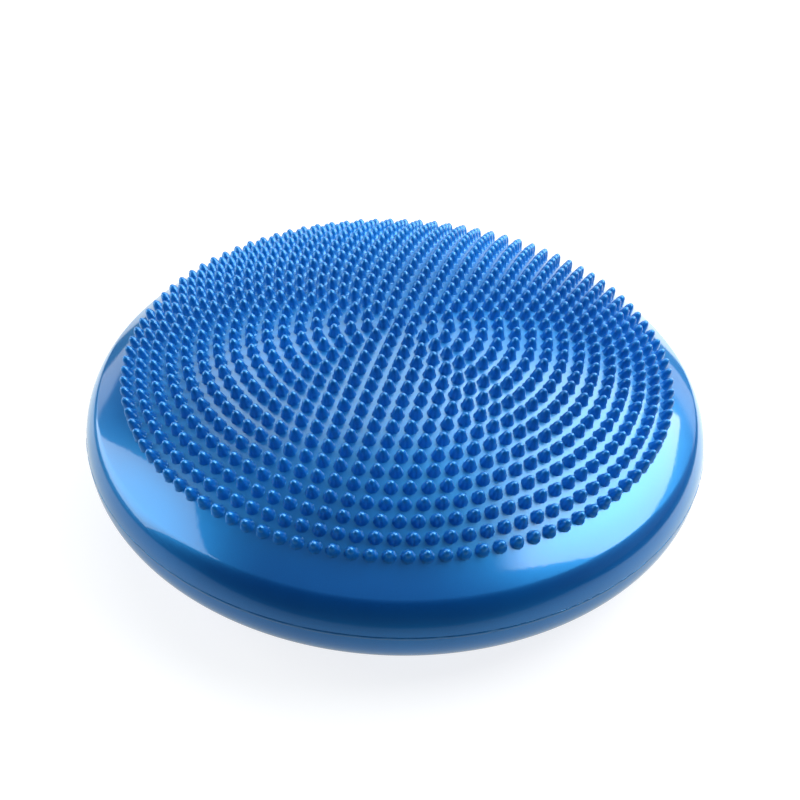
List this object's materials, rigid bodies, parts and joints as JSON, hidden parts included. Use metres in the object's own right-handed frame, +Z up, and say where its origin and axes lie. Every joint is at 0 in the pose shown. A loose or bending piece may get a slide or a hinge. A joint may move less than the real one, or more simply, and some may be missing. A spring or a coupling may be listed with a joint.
{
  "type": "wobble cushion",
  "caption": "Round inflated balance cushion with a domed crown of concentric massage nubs, a smooth rounded rim, a parting bead, and a needle valve with a pull-out stopper.",
  "frame": {"origin": "centre of the flat patch that the cushion rests on", "axes": "+Z up through the centre of the crown; +Y towards the valve"},
  "size_m": [0.3308, 0.3308, 0.1038],
  "materials": {
    "pearl_skin": "glossy pearlescent blue PVC",
    "bead": "glossy blue PVC",
    "seat": "satin blue PVC",
    "valve_rubber": "matt black rubber",
    "stopper": "satin dark blue plastic"
  },
  "bodies": {
    "base": {"lower_skin": "pearl_skin", "valve_seat": "seat", "needle_valve": "valve_rubber"},
    "waist": {"parting_bead": "bead"},
    "crown": {"upper_skin": "pearl_skin"},
    "stopper": {"valve_stopper": "stopper"}
  },
  "joints": [
    {"name": "tilt_front", "type": "hinge", "parent": "waist", "child": "crown", "pos_m": [0, 0, 0.038], "axis": [1, 0, 0], "range_deg": [-7, 7], "stiffness_Nm_per_rad": 40, "deforming": ["upper_skin"]},
    {"name": "tilt_side", "type": "hinge", "parent": "base", "child": "waist", "pos_m": [0, 0, 0.038], "axis": [0, 1, 0], "range_deg": [-7, 7], "stiffness_Nm_per_rad": 40, "deforming": ["lower_skin", "parting_bead"]},
    {"name": "stopper_pull", "type": "slide", "parent": "base", "child": "stopper", "axis": [0, 0.8105, -0.5857], "range_m": [0, 0.01]}
  ]
}
